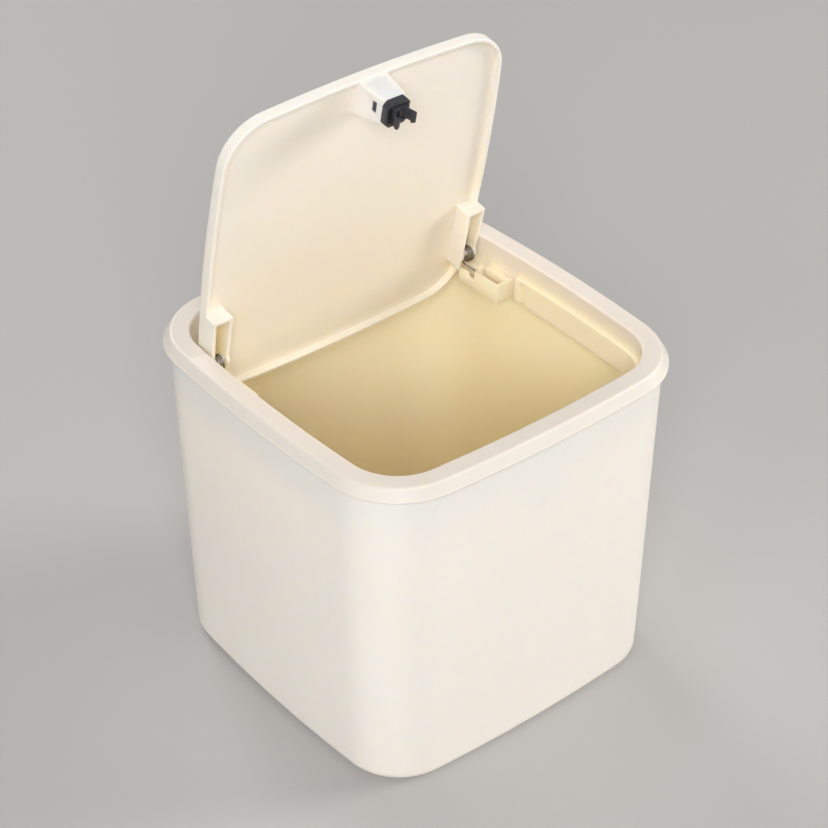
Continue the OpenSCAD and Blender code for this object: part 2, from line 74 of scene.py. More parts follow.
RIM_W = 13.0
RIM_T = 2.4
RIM_TOP_INSET = 3.4
RIM_EDGE_R = 1.7
SKIRT_H = 6.4
SKIRT_T = 1.1
BEAD_H = 0.9
BEAD_OUT = 0.35
BEAD_INSET = 0.05
SKIRT_INSET = 0.1
COLLAR_T = 2.2
COLLAR_H = 25.0
LEDGE_DOWN = 12.0
LEDGE_W = 2.0
BUCKET_WALL = 2.2
BUCKET_INSET = 2.9
BUCKET_DRAFT = 4.6
BASE_R = 6.5
FLOOR_T = 2.5
FOOT_H = 1.2
FOOT_W = 3.0
DISC_INSET = 31.0
LID_GAP = 2.0
LID_T = 2.7
LID_EDGE_H = 6.0
LID_RIB_T = 2.0
OPEN_TURN = radians(78)

lid_hinge = next(j for j in frame["joints"] if j["name"] == "lid_hinge")
HINGE_Y = lid_hinge["pos_m"][1] / MM
HINGE_Z = lid_hinge["pos_m"][2] / MM
HINGE = (HINGE_Y, HINGE_Z)
LID_INSET = RIM_W + LID_GAP
LID_UNDER = BIN_H - LID_T
RIM_UNDER = BIN_H - RIM_T
LEDGE_Z = BIN_H - LEDGE_DOWN
COLLAR_END = BIN_H - COLLAR_H
# Parts of one moulding reach this far into each other, and cutters this far past what they cut.
JOIN = 1.0
# Faces that would lie in one plane are set apart by this much, so that the parts join cleanly.
SLIVER = 0.02


# ---------------------------------------------------------------- the outline
def corner_centre(a, b, big, small):
    """Centre of the corner arc that meets both bowed sides smoothly."""
    p, q, reach = a - big, b - big, big - small
    c0, c1 = (p * p - q * q) / (2 * p), q / p
    qa, qb, qc = c1 * c1 + 1, 2 * c1 * (c0 - p), (c0 - p) ** 2 - reach * reach
    y = (-qb + sqrt(qb * qb - 4 * qa * qc)) / (2 * qa)
    return c0 + c1 * y, y


CORNER_X, CORNER_Y = corner_centre(HALF_W, HALF_D, SIDE_BOW_R, CORNER_R)
SIDE_TURN = atan2(CORNER_Y, CORNER_X - (HALF_W - SIDE_BOW_R))
END_TURN = atan2(CORNER_Y - (HALF_D - SIDE_BOW_R), CORNER_X)


def stations():
    """The outline as (centre x, centre y, radius, angle), anticlockwise from the middle of +X."""
    corner_turn, end_turn = END_TURN - SIDE_TURN, pi / 2 - END_TURN
    quarter = [(HALF_W - SIDE_BOW_R, 0, SIDE_BOW_R, SIDE_TURN * i / SIDE_STEPS) for i in range(SIDE_STEPS)]
    quarter += [(CORNER_X, CORNER_Y, CORNER_R, SIDE_TURN + corner_turn * i / CORNER_STEPS)
                for i in range(CORNER_STEPS + 1)]
    quarter += [(0, HALF_D - SIDE_BOW_R, SIDE_BOW_R, END_TURN + end_turn * i / SIDE_STEPS)
                for i in range(1, SIDE_STEPS + 1)]
    left = [(-x, y, r, pi - a) for x, y, r, a in reversed(quarter[:-1])]
    half = quarter + left
    return half + [(-x, -y, r, a + pi) for x, y, r, a in half[1:-1]]


RING = stations()


def at(station, inset):
    """The place at a station, this far inside the outline."""
    x, y, r, a = station
    return x + (r - inset) * cos(a), y + (r - inset) * sin(a)


def side_x(inset, y):
    """Distance of a side from the middle, at a given place along it."""
    return HALF_W - SIDE_BOW_R + sqrt((SIDE_BOW_R - inset) ** 2 - y * y)


def inset_at(x, y):
    """How far a place is inside the outline."""
    x, y = abs(x), abs(y)
    if x > CORNER_X and y > CORNER_Y:
        return CORNER_R - hypot(x - CORNER_X, y - CORNER_Y)
    return min(side_x(0, y) - x, HALF_D - SIDE_BOW_R + sqrt(SIDE_BOW_R ** 2 - x * x) - y)


def side_station(y, inset):
    """The station on the +X side whose point at that inset has this y."""
    return HALF_W - SIDE_BOW_R, 0, SIDE_BOW_R, atan2(y, sqrt((SIDE_BOW_R - inset) ** 2 - y * y))


# ---------------------------------------------------------------- mesh helpers
GUARD = 0.35
LONGEST_SHARE = 0.49
NEARLY_STRAIGHT = radians(89.5)


def rounded(corners, arc_steps=4):
    """A profile of (inset, height, radius) corners with each corner rounded.

    Guard points beside the arcs keep the shading flat between them."""
    out = []
    count = len(corners)
    for i, (k, z, r) in enumerate(corners):
        here = Vector((k, z))
        before = Vector(corners[i - 1][:2]) - here
        after = Vector(corners[(i + 1) % count][:2]) - here
        u, v = before.normalized(), after.normalized()
        half_angle = u.angle(v) / 2
        if r <= 0 or half_angle > NEARLY_STRAIGHT:
            out.append(here)
            continue
        reach = min(r / tan(half_angle), before.length * LONGEST_SHARE, after.length * LONGEST_SHARE)
        radius = reach * tan(half_angle)
        centre = here + (u + v).normalized() * (radius / sin(half_angle))
        start, end = here + u * reach, here + v * reach
        if before.length > 2 * (reach + GUARD):
            out.append(start + u * GUARD)
        a0 = atan2(start.y - centre.y, start.x - centre.x)
        a1 = atan2(end.y - centre.y, end.x - centre.x)
        turn = (a1 - a0 + pi) % (2 * pi) - pi
        angles = [a0 + turn * s / arc_steps for s in range(arc_steps + 1)]
        out += [centre + radius * Vector((cos(a), sin(a))) for a in angles]
        if after.length > 2 * (reach + GUARD):
            out.append(end + v * GUARD)
    return out


def add_piece(name, data):
    piece = bpy.data.objects.new(name, data)
    bpy.context.scene.collection.objects.link(piece)
    return piece


def new_mesh(name, points, faces):
    """A piece from points in millimetres, with its faces pointing outwards."""
    mesh = bpy.data.meshes.new(name)
    mesh.from_pydata([tuple(c * MM for c in p) for p in points], [], faces)
    mesh.validate()
    tidy = bmesh.new()
    tidy.from_mesh(mesh)
    bmesh.ops.recalc_face_normals(tidy, faces=tidy.faces)
    tidy.to_mesh(mesh)
    tidy.free()
    return add_piece(name, mesh)


def swept(name, profile, path=None, cap="none"):
    """Sweeps a profile of (inset, height) points along the outline.

    cap is none for a closed ring, ends for a stretch of it, or discs where the profile is open and both its
    ends are flat discs."""
    closed_path = path is None
    path = path or RING
    rings = [[(*at(s, p[0]), p[1]) for s in path] for p in profile]
    around, count = len(path), len(profile)
    points = [p for ring in rings for p in ring]
    rows = count - 1 if cap == "discs" else count
    faces = [(i * around + j, i * around + (j + 1) % around,
              (i + 1) % count * around + (j + 1) % around, (i + 1) % count * around + j)
             for i in range(rows) for j in range(around if closed_path else around - 1)]
    if cap == "discs":
        faces += [tuple(range(around)), tuple(range((count - 1) * around, count * around))]
    if cap == "ends":
        faces += [tuple(i * around + end for i in range(count)) for end in (0, around - 1)]
    return new_mesh(name, points, faces)


def prism(name, corners, low, high, axis):
    """A flat outline pushed along x, where it is (y, z), or along z, where it is (x, y)."""
    n = len(corners)
    points = [(t, a, b) if axis == "x" else (a, b, t) for t in (low, high) for a, b in corners]
    faces = [tuple(range(n)), tuple(range(2 * n - 1, n - 1, -1))]
    faces += [(i, (i + 1) % n, n + (i + 1) % n, n + i) for i in range(n)]
    return new_mesh(name, points, faces)


def block(low, high):
    """A box between two corners."""
    corners = [(low[0], low[1]), (high[0], low[1]), (high[0], high[1]), (low[0], high[1])]
    return prism("block", corners, low[2], high[2], "z")


ROD_STEPS = 40


def cross_rod(centre, radius, low, high):
    """A round rod along x; centre is its (y, z)."""
    angles = [2 * pi * i / ROD_STEPS for i in range(ROD_STEPS)]
    ring = [(centre[0] + radius * cos(a), centre[1] + radius * sin(a)) for a in angles]
    return prism("rod", ring, low, high, "x")


def apply_modifiers(piece):
    """Turns what a piece's modifiers make into its own mesh."""
    bpy.context.view_layer.update()
    graph = bpy.context.evaluated_depsgraph_get()
    mesh = bpy.data.meshes.new_from_object(piece.evaluated_get(graph))
    piece.modifiers.clear()
    piece.data = mesh
    return piece


def combine(piece, others, operation):
    """Adds other solids to a piece, or cuts them out of it."""
    for other in others:
        step = piece.modifiers.new("combine", "BOOLEAN")
        step.operation = operation
        step.solver = "EXACT"
        step.object = other
        apply_modifiers(piece)
        bpy.data.objects.remove(other)
    return piece


def soften(piece, width, angle=38):
    """Rounds every edge of a piece that is sharper than the angle, as a mould does."""
    edge = piece.modifiers.new("soften", "BEVEL")
    edge.width = width * MM
    edge.segments = 2
    edge.limit_method = "ANGLE"
    edge.angle_limit = radians(angle)
    edge.harden_normals = False
    edge.use_clamp_overlap = True
    apply_modifiers(piece)
    return piece


def join(name, pieces):
    """Several closed shells as one piece."""
    bpy.ops.object.select_all(action="DESELECT")
    for piece in pieces:
        piece.select_set(True)
    bpy.context.view_layer.objects.active = pieces[0]
    bpy.ops.object.join()
    whole = bpy.context.view_layer.objects.active
    whole.name = name
    whole.data.name = name
    return whole


def smooth(piece, angle=32):
    """Smooth shading that stops at real edges."""
    mesh = piece.data
    mesh.shade_smooth()
    sharp = bmesh.new()
    sharp.from_mesh(mesh)
    for edge in sharp.edges:
        edge.smooth = len(edge.link_faces) == 2 and edge.calc_face_angle(pi) < radians(angle)
    sharp.to_mesh(mesh)
    sharp.free()
    return piece


def paint_light(piece, rule):
    """Stores how far inside the bin each point is, from 0 outside to 1 deep down, as its share of the painted
    light and shade.
    """
    marks = piece.data.attributes.new(PAINTED_LIGHT, "FLOAT", "POINT")
    for vertex, mark in zip(piece.data.vertices, marks.data):
        mark.value = min(1.0, max(0.0, rule(vertex.co / MM, vertex.normal)))
    return piece


def mirrored(piece):
    """A copy on the other side of the middle."""
    copy = add_piece(piece.name, piece.data.copy())
    copy.data.transform(Matrix.Scale(-1, 4, (1, 0, 0)))
    copy.data.flip_normals()
    return copy


def opened(piece):
    """Turns a piece drawn with the lid closed to where the lid stands open."""
    hinge = Vector((0, HINGE_Y * MM, HINGE_Z * MM))
    turn = Matrix.Translation(hinge) @ Matrix.Rotation(-OPEN_TURN, 4, "X") @ Matrix.Translation(-hinge)
    piece.data.transform(turn)
    return piece


# ---------------------------------------------------------------- materials
def linear(hex_colour):
    """sRGB hex to linear RGBA."""
    parts = [int(hex_colour[i:i + 2], 16) / 255 for i in (1, 3, 5)]
    return (*(c / 12.92 if c <= 0.04045 else ((c + 0.055) / 1.055) ** 2.4 for c in parts), 1.0)


def node(tree, kind, links=None, **settings):
    """One node with its settings, and links from its inputs' names to other nodes' outputs."""
    made = tree.nodes.new(kind)
    for key, value in settings.items():
        if key.startswith("in_"):
            made.inputs[key[3:].replace("_", " ")].default_value = value
        else:
            setattr(made, key, value)
    for name, source in (links or {}).items():
        tree.links.new(source, made.inputs[name])
    return made


def start_material(name, **shader):
    """A material with its shader's own values, and the coordinates that its patterns read."""
    material = bpy.data.materials.new(name)
    material.use_nodes = True
    tree = material.node_tree
    principled = tree.nodes["Principled BSDF"]
    for key, value in shader.items():
        principled.inputs[key.replace("_", " ")].default_value = value
    place = node(tree, "ShaderNodeTexCoord").outputs["Object"]
    return material, tree, principled, place


# Colour sockets of a Mix node, which share their names with its other sockets.
MIX_A, MIX_B, MIX_RESULT = 6, 7, 2

# Painted light and shade: a warmer colour, mixed in by a point attribute, stands in for light that passes
# through the thin walls and bounces inside the bin, and for the shade in its recesses.
PAINTED_LIGHT = "inside"
PAINTED_LIGHT_COLOUR = "#FFEECF"


def moulded_polypropylene(name, colour, deep_colour, roughness):
    """Cream polypropylene from an eroded mould: a satin skin with a fine even grain, so highlights are wide
    and soft, and a slight cloudiness in the colour. Light passes through its thin walls and bounces between
    them; that light, and the shade inside, is painted as a warmer colour: the attribute says how far inside a
    place is."""
    cloud_mm, patch_mm, grain_mm, grain_depth_mm = 45, 12, 0.28, 0.02
    material, tree, shader, place = start_material(
        name, IOR=1.49, Subsurface_Weight=0.6, Subsurface_Scale=4.0 * MM)
    shader.inputs["Subsurface Radius"].default_value = (1.0, 0.75, 0.42)
    cloud = node(tree, "ShaderNodeTexNoise", {"Vector": place}, in_Scale=1 / (cloud_mm * MM), in_Detail=3.0)
    tint = node(tree, "ShaderNodeMix", {"Factor": cloud.outputs["Fac"]}, data_type="RGBA")
    tint.inputs[MIX_A].default_value = linear(deep_colour)
    tint.inputs[MIX_B].default_value = linear(colour)
    # Painted light and shade: the attribute mixes the warmer colour into the base colour.
    painted_light_mask = node(tree, "ShaderNodeAttribute", attribute_name=PAINTED_LIGHT)
    painted_light_mix = node(tree, "ShaderNodeMix", {"Factor": painted_light_mask.outputs["Fac"]}, data_type="RGBA")
    tree.links.new(tint.outputs[MIX_RESULT], painted_light_mix.inputs[MIX_A])
    painted_light_mix.inputs[MIX_B].default_value = linear(PAINTED_LIGHT_COLOUR)
    tree.links.new(painted_light_mix.outputs[MIX_RESULT], shader.inputs["Base Color"])
    grain = node(tree, "ShaderNodeTexNoise", {"Vector": place}, in_Scale=1 / (grain_mm * MM), in_Detail=2.0)
    patch = node(tree, "ShaderNodeTexNoise", {"Vector": place}, in_Scale=1 / (patch_mm * MM), in_Detail=4.0)
    rough = node(tree, "ShaderNodeMapRange", {"Value": patch.outputs["Fac"]},
                 in_To_Min=roughness - 0.05, in_To_Max=roughness + 0.05)
    tree.links.new(rough.outputs["Result"], shader.inputs["Roughness"])
    bump = node(tree, "ShaderNodeBump", {"Height": grain.outputs["Fac"]},
                in_Strength=0.1, in_Distance=grain_depth_mm * MM)
    tree.links.new(bump.outputs["Normal"], shader.inputs["Normal"])
    return material


def moulded_acetal(name):
    """Black acetal: dense and slightly waxy, with a fine spark-eroded skin that greys the highlights."""
    material, tree, shader, place = start_material(name, IOR=1.48)
    mottle_mm, mottle_depth_mm = 1.5, 0.03
    mottle = node(tree, "ShaderNodeTexNoise", {"Vector": place}, in_Scale=1 / (mottle_mm * MM), in_Detail=4.0)
    tint = node(tree, "ShaderNodeMix", {"Factor": mottle.outputs["Fac"]}, data_type="RGBA")
    tint.inputs[MIX_A].default_value = linear("#303034")
    tint.inputs[MIX_B].default_value = linear("#3E3E43")
    tree.links.new(tint.outputs[MIX_RESULT], shader.inputs["Base Color"])
    rough = node(tree, "ShaderNodeMapRange", {"Value": mottle.outputs["Fac"]}, in_To_Min=0.38, in_To_Max=0.55)
    tree.links.new(rough.outputs["Result"], shader.inputs["Roughness"])
    bump = node(tree, "ShaderNodeBump", {"Height": mottle.outputs["Fac"]},
                in_Strength=0.12, in_Distance=mottle_depth_mm * MM)
    tree.links.new(bump.outputs["Normal"], shader.inputs["Normal"])
    return material


def spring_wire(name):
    """Oiled spring steel wire, cold drawn: grey, fairly bright, with faint fine marks."""
    material, tree, shader, place = start_material(name, Metallic=1.0)
    mark_mm = 0.4
    drawn = node(tree, "ShaderNodeTexNoise", {"Vector": place}, in_Scale=1 / (mark_mm * MM), in_Detail=5.0)
    tint = node(tree, "ShaderNodeMix", {"Factor": drawn.outputs["Fac"]}, data_type="RGBA")
    tint.inputs[MIX_A].default_value = linear("#63625F")
    tint.inputs[MIX_B].default_value = linear("#8F8E8A")
    tree.links.new(tint.outputs[MIX_RESULT], shader.inputs["Base Color"])
    rough = node(tree, "ShaderNodeMapRange", {"Value": drawn.outputs["Fac"]}, in_To_Min=0.25, in_To_Max=0.42)
    tree.links.new(rough.outputs["Result"], shader.inputs["Roughness"])
    return material


CREAM = moulded_polypropylene("cream_polypropylene", "#F8F0E7", "#F5ECE1", roughness=0.46)
# The rim frame and the hinge pins get a darker, pinker copy of the same cream: the darkening is painted
# shade.
SHADED_CREAM = moulded_polypropylene("shaded_rim_polypropylene", "#ECE2D7", "#E8DCCF", roughness=0.42)
BLACK = moulded_acetal("black_acetal")
WIRE = spring_wire("drawn_spring_wire")


def from_cad(node_name, name, merge_flats=True):
    """A copy of a CAD node's mesh, with its points merged, and the triangles of each flat face too."""
    mesh = frame["nodes"][node_name].data.copy()
    merged = bmesh.new()
    merged.from_mesh(mesh)
    bmesh.ops.remove_doubles(merged, verts=merged.verts, dist=0.002 * MM)
    if merge_flats:
        bmesh.ops.dissolve_limit(merged, angle_limit=radians(2), verts=merged.verts, edges=merged.edges)
    merged.to_mesh(mesh)
    merged.free()
    return add_piece(name, mesh)


def wire_tree():
    """Geometry Nodes that draw round wire along a path of edges."""
    tree = bpy.data.node_groups.new("drawn_wire", "GeometryNodeTree")
    face = tree.interface
    face.new_socket("Geometry", in_out="INPUT", socket_type="NodeSocketGeometry")
    radius = face.new_socket("Wire radius", in_out="INPUT", socket_type="NodeSocketFloat")
    sides = face.new_socket("Sides", in_out="INPUT", socket_type="NodeSocketInt")
    finish = face.new_socket("Wire material", in_out="INPUT", socket_type="NodeSocketMaterial")
    face.new_socket("Geometry", in_out="OUTPUT", socket_type="NodeSocketGeometry")
    entry = tree.nodes.new("NodeGroupInput").outputs
    curve = node(tree, "GeometryNodeMeshToCurve", {"Mesh": entry["Geometry"]})
    ring = node(tree, "GeometryNodeCurvePrimitiveCircle",
                {"Radius": entry["Wire radius"], "Resolution": entry["Sides"]})
    tube = node(tree, "GeometryNodeCurveToMesh",
                {"Curve": curve.outputs["Curve"], "Profile Curve": ring.outputs["Curve"]}, in_Fill_Caps=True)
    soft = node(tree, "GeometryNodeSetShadeSmooth", {"Geometry": tube.outputs["Mesh"]})
    real = node(tree, "GeometryNodeRealizeInstances", {"Geometry": soft.outputs["Geometry"]})
    coated = node(tree, "GeometryNodeSetMaterial",
                  {"Geometry": real.outputs["Geometry"], "Material": entry["Wire material"]})
    node(tree, "NodeGroupOutput", {"Geometry": coated.outputs["Geometry"]})
    return tree, {"radius": radius.identifier, "sides": sides.identifier, "finish": finish.identifier}


WIRE_TREE, WIRE_INPUTS = wire_tree()
WIRE_SIDES = 16
WIRE_SMOOTH = 60


def wire(name, path, diameter):
    """Round wire along a path of points in millimetres."""
    mesh = bpy.data.meshes.new(name)
    steps = [(i, i + 1) for i in range(len(path) - 1)]
    mesh.from_pydata([tuple(c * MM for c in p) for p in path], steps, [])
    piece = add_piece(name, mesh)
    drawn = piece.modifiers.new("drawn_wire", "NODES")
    drawn.node_group = WIRE_TREE
    drawn[WIRE_INPUTS["radius"]] = diameter / 2 * MM
    drawn[WIRE_INPUTS["sides"]] = WIRE_SIDES
    drawn[WIRE_INPUTS["finish"]] = WIRE
    return smooth(apply_modifiers(piece), angle=WIRE_SMOOTH)


def finish_piece(piece, material, slot, body, *nodes):
    """Gives a piece its material and its body, and hides the CAD nodes it stands for."""
    piece.data.materials.clear()
    piece.data.materials.append(material)
    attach(piece, body)
    if nodes:
        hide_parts(*nodes)
    return piece


# ---------------------------------------------------------------- bucket
BUCKET_EDGE_R = 0.4
FOOT_EDGE_R = 0.5
FOOT_SLOPE = 0.8
INNER_BASE_R = BASE_R - BUCKET_WALL + 2


def bucket_inset(z):
    """The drafted wall's inset at a height."""
    return BUCKET_INSET + BUCKET_DRAFT * (RIM_UNDER - z) / RIM_UNDER


def bucket_shell():
    """The profile runs over the floor, up the wall, over its edge, down outside and in to the underside."""
    base_k = bucket_inset(0)
    foot_in = bucket_inset(BASE_R) + BASE_R + FOOT_W
    floor_top = FOOT_H + FLOOR_T
    corners = [(DISC_INSET, floor_top, 0), (base_k + BUCKET_WALL, floor_top, INNER_BASE_R),
               (BUCKET_INSET + BUCKET_WALL, RIM_UNDER, BUCKET_EDGE_R),
               (BUCKET_INSET, RIM_UNDER, BUCKET_EDGE_R),
               (base_k, 0, BASE_R), (foot_in, 0, FOOT_EDGE_R), (foot_in + FOOT_SLOPE, FOOT_H, FOOT_EDGE_R),
               (DISC_INSET, FOOT_H, 0)]
    return smooth(swept("bucket_shell", rounded(corners, arc_steps=8), cap="discs"))


def bucket_painted_light(place, normal):
    """Everything that faces the inside gets the painted light and shade."""
    faces_in = normal.x * place.x + normal.y * place.y < 0
    on_floor = normal.z > 0.5 and place.z < BIN_H / 2
    return 1.0 if faces_in or on_floor else 0.0


finish_piece(paint_light(bucket_shell(), bucket_painted_light), CREAM, "bin_plastic", "bin", "bucket")


# ---------------------------------------------------------------- rim frame
TROUGH_W = 5.0
TROUGH_WALL = 1.4
TROUGH_LEN = 17.5
TROUGH_TOP = BIN_H - 14.0
TROUGH_FLOOR = BIN_H - 23.0
TROUGH_SETBACK = 9.7
COLLAR_X = side_x(RIM_W, HINGE_Y)
TROUGH_X = COLLAR_X - TROUGH_SETBACK
TROUGH_BACK = HINGE_Y - 11.5
LEDGE_TOP = LEDGE_Z + 1
LEDGE_END_Y = HINGE_Y - 40
SHELF_END_Y = HINGE_Y - 32.5
SHELF_RIB = 3.2
LEDGE_SHELF_T = 1.6
LEDGE_OVERLAP = 0.6
LEDGE_STEPS = 4
LOW_WALL_H = 6
LOW_WALL_LEN = 12
NOTCH_LEN = 5
NOTCH_DOWN = 2.6
NOTCH_SLOPE = 0.8
BEARING_R = 5
BEARING_START = 1.2
BEARING_LEN = 5.3
BEARING_END_T = 0.7
PIN_HOLE_R = 2.3
HOLE_IN = 3
HOLE_OUT = 4
INNER_EDGE_R = 1.1
RIM_SHADE_H = 7


def rim_ring():
    """The flat top, the collar inside the bin and the drafted skirt with a fine bead along its lower edge."""
    skirt_z = BIN_H - SKIRT_H
    bead_z = skirt_z + BEAD_H
    collar_out = RIM_W - COLLAR_T
    corners = [(RIM_TOP_INSET + 0.15, RIM_UNDER, 0), (collar_out, RIM_UNDER, 0),
               (collar_out, COLLAR_END, 0.3), (RIM_W, COLLAR_END, 0.4),
               (RIM_W, BIN_H, INNER_EDGE_R), (RIM_TOP_INSET, BIN_H, RIM_EDGE_R),
               (BEAD_OUT, bead_z + 0.2, 0.15), (BEAD_INSET, bead_z, 0.2),
               (SKIRT_INSET, skirt_z, 0.3), (SKIRT_INSET + SKIRT_T, skirt_z, 0.3)]
    return swept("rim_ring", rounded(corners, arc_steps=6))


def ledge_profile(width, low, high):
    """A step this wide on the collar, which it overlaps."""
    back, front = RIM_W - LEDGE_OVERLAP, RIM_W + width
    return rounded([(back, high, 0), (back, low, 0.2), (front, low, 0.4), (front, high, 0.4)])


def ledge():
    """The narrow step inside the opening, from one side round the front to the other."""
    end = side_station(LEDGE_END_Y, RIM_W + LEDGE_W)
    x, y, r, a = end
    front = [s for s in RING if at(s, RIM_W)[1] < LEDGE_END_Y - JOIN / 2]
    front.sort(key=lambda s: atan2(at(s, 0)[0], -at(s, 0)[1]))
    path = [(-x, y, r, pi - a)] + front + [end]
    return swept("ledge", ledge_profile(LEDGE_W, COLLAR_END, LEDGE_TOP), path=path, cap="ends")


def ledge_shelf():
    """Where the ledge on the +X side runs on as a thin shelf over a recess, up to a rib."""
    def stretch(name, start, end, width, low, high):
        ys = [start + (end - start) * i / LEDGE_STEPS for i in range(LEDGE_STEPS + 1)]
        path = [side_station(y, RIM_W + width) for y in ys]
        return swept(name, ledge_profile(width, low, high), path=path, cap="ends")
    shelf = stretch("ledge_shelf", LEDGE_END_Y - JOIN, SHELF_END_Y, LEDGE_W - SLIVER,
                    LEDGE_TOP - LEDGE_SHELF_T, LEDGE_TOP - SLIVER)
    rib = stretch("ledge_rib", SHELF_END_Y - SHELF_RIB, SHELF_END_Y + 0.05, LEDGE_W + SLIVER,
                  COLLAR_END, LEDGE_TOP + SLIVER)
    return [shelf, rib]


def trough():
    """Open-topped pocket on the +X side that the spring's fixed leg lies in; it is low beside the hinge."""
    out_x = side_x(RIM_W - COLLAR_T / 2, HINGE_Y)
    front = TROUGH_BACK - TROUGH_LEN
    low = TROUGH_FLOOR - TROUGH_WALL
    low_top = TROUGH_FLOOR + LOW_WALL_H
    low_end = TROUGH_BACK + LOW_WALL_LEN
    notch_end = TROUGH_BACK + NOTCH_LEN
    notch_z = low_top - NOTCH_DOWN
    side = [(front, low), (low_end, low), (low_end, low_top), (notch_end, low_top),
            (notch_end - NOTCH_SLOPE, notch_z), (TROUGH_BACK + NOTCH_SLOPE / 2, notch_z),
            (TROUGH_BACK, TROUGH_TOP), (front, TROUGH_TOP)]
    body = prism("trough", side, TROUGH_X, out_x, "x")
    inner = TROUGH_X + TROUGH_WALL
    pocket = block((inner, front + TROUGH_WALL, TROUGH_FLOOR),
                   (inner + TROUGH_W, low_end + JOIN, BIN_H))
    return soften(combine(body, [pocket], "DIFFERENCE"), 0.28)


LATCH_Y = -(HALF_D - 23.2)
SHELF_TOP = BIN_H - 40.5
SHELF_T = 2.5
BRACKET_HALF = 10.0
BRACKET_WALL = 1.5
BRACKET_REACH = 5.5
BRACKET_LOW_H = 0.4
BRACKET_HIGH_H = 14
SLOT_HALF_W = 3.2
SLOT_HALF_D = 2.2


def striker_bracket():
    """Shelf between two side walls at the front of the collar, with the slot that the striker stands in."""
    back_y = -(HALF_D - RIM_W) - LEDGE_OVERLAP
    face_y = -(HALF_D - RIM_W - LEDGE_W)
    shelf_bottom = SHELF_TOP - SHELF_T
    reach = LATCH_Y + BRACKET_REACH
    top = LEDGE_Z - 1
    side = [(back_y, shelf_bottom), (reach, shelf_bottom), (reach, SHELF_TOP + BRACKET_LOW_H),
            (face_y, SHELF_TOP + BRACKET_HIGH_H), (face_y, top), (back_y, top)]
    body = prism("striker_bracket", side, -BRACKET_HALF, BRACKET_HALF, "x")
    inner = BRACKET_HALF - BRACKET_WALL
    middle = block((-inner, face_y, SHELF_TOP), (inner, reach + JOIN, BIN_H))
    slot = block((-SLOT_HALF_W, LATCH_Y - SLOT_HALF_D, shelf_bottom - JOIN),
                 (SLOT_HALF_W, LATCH_Y + SLOT_HALF_D, SHELF_TOP + JOIN))
    return soften(combine(body, [middle, slot], "DIFFERENCE"), 0.3)


def bearing():
    """Blind bearing behind the collar that a hinge pin turns in."""
    end = COLLAR_X + BEARING_LEN
    boss = cross_rod(HINGE, BEARING_R, COLLAR_X + BEARING_START, end)
    return combine(boss, [cross_rod(HINGE, PIN_HOLE_R, COLLAR_X, end - BEARING_END_T)], "DIFFERENCE")


def rim_frame():
    """The ring with all that is moulded on it, as one solid."""
    sides = [trough(), bearing()] + ledge_shelf()
    sides += [mirrored(s) for s in sides]
    near, far = COLLAR_X - HOLE_IN, COLLAR_X + HOLE_OUT
    holes = [cross_rod(HINGE, PIN_HOLE_R, low, high) for low, high in ((-far, -near), (near, far))]
    ring = combine(rim_ring(), holes, "DIFFERENCE")
    return smooth(combine(ring, [ledge(), striker_bracket()] + sides, "UNION"))


def rim_painted_light(place, normal):
    """Painted light and shade that grows down the collar from just under its top edge."""
    within = inset_at(place.x, place.y) > RIM_W - 0.3
    return (BIN_H - 1 - place.z) / RIM_SHADE_H if within else 0.0


finish_piece(paint_light(rim_frame(), rim_painted_light), SHADED_CREAM, "rim_plastic", "bin", "rim_frame")


# ---------------------------------------------------------------- lid
BOX_W = 9.6
BOX_WALL = 1.7
BOX_LEN = 36.0
BOX_Z = BIN_H - 12.0
BOX_END = HINGE_Y + 8
BOX_START = BOX_END - BOX_LEN
LID_EDGE_X = side_x(LID_INSET, HINGE_Y)
BOX_X = LID_EDGE_X - BOX_W
BOX_STEPS = 8
BOX_EDGE_R = 0.3
BOX_SETBACK = 0.4
OUTER_WALL_END = HINGE_Y + 3
EYE_R = 4.0
EYE_SETBACK = 0.05
LID_TOP_R = 0.9
LID_RIB_R = 0.5
LID_RIB_DRAFT = 0.15


def lid_panel():
    """The lid's plate with the rib round its edge."""
    edge_z = BIN_H - LID_EDGE_H
    rib_in = LID_INSET + LID_RIB_T
    corners = [(DISC_INSET, BIN_H, 0), (LID_INSET, BIN_H, LID_TOP_R), (LID_INSET, edge_z, LID_RIB_R),
               (rib_in, edge_z, LID_RIB_R), (rib_in + LID_RIB_DRAFT, LID_UNDER, LID_RIB_R),
               (DISC_INSET, LID_UNDER, 0)]
    return swept("lid_panel", rounded(corners, arc_steps=5), cap="discs")


def hinge_box():
    """The open-mouthed box on the +X side that holds the spring's turns and its moving leg."""
    top = LID_UNDER + JOIN
    flush = LID_INSET + SLIVER
    ys = [BOX_START + (OUTER_WALL_END - BOX_START) * i / BOX_STEPS for i in range(BOX_STEPS + 1)]
    wall = rounded([(flush, top, 0), (flush, BOX_Z, BOX_EDGE_R),
                    (flush + BOX_WALL, BOX_Z, BOX_EDGE_R), (flush + BOX_WALL, top, 0)])
    outer_wall = swept("outer_wall", wall, path=[side_station(y, flush) for y in ys], cap="ends")
    front_x = side_x(LID_INSET, BOX_START) - BOX_SETBACK
    inner_x, inner_y = BOX_X + BOX_WALL, BOX_START + BOX_WALL
    walls = [(BOX_X, BOX_START), (front_x, BOX_START), (front_x, inner_y),
             (inner_x, inner_y), (inner_x, BOX_END), (BOX_X, BOX_END)]
    corner = prism("hinge_box", walls, BOX_Z, top, "z")
    corner = combine(corner, [cross_rod(HINGE, EYE_R, BOX_X, inner_x)], "UNION")
    outer_x = LID_EDGE_X - EYE_SETBACK
    outer_eye = cross_rod(HINGE, EYE_R, outer_x - BOX_WALL, outer_x)
    return [outer_wall, soften(corner, 0.35), soften(outer_eye, 0.3)]


HOUSING_W = 12.0
HOUSING_D = 13.4
HOUSING_WALL = 1.2
HOUSING_ROOF_T = 1
HOUSING_END = BIN_H - 21.5
BOSS_W = 17.4
BOSS_OUT = 5.6
CATCH_W = 6.0
CATCH_H = 2.8
CATCH_UP = 4.0


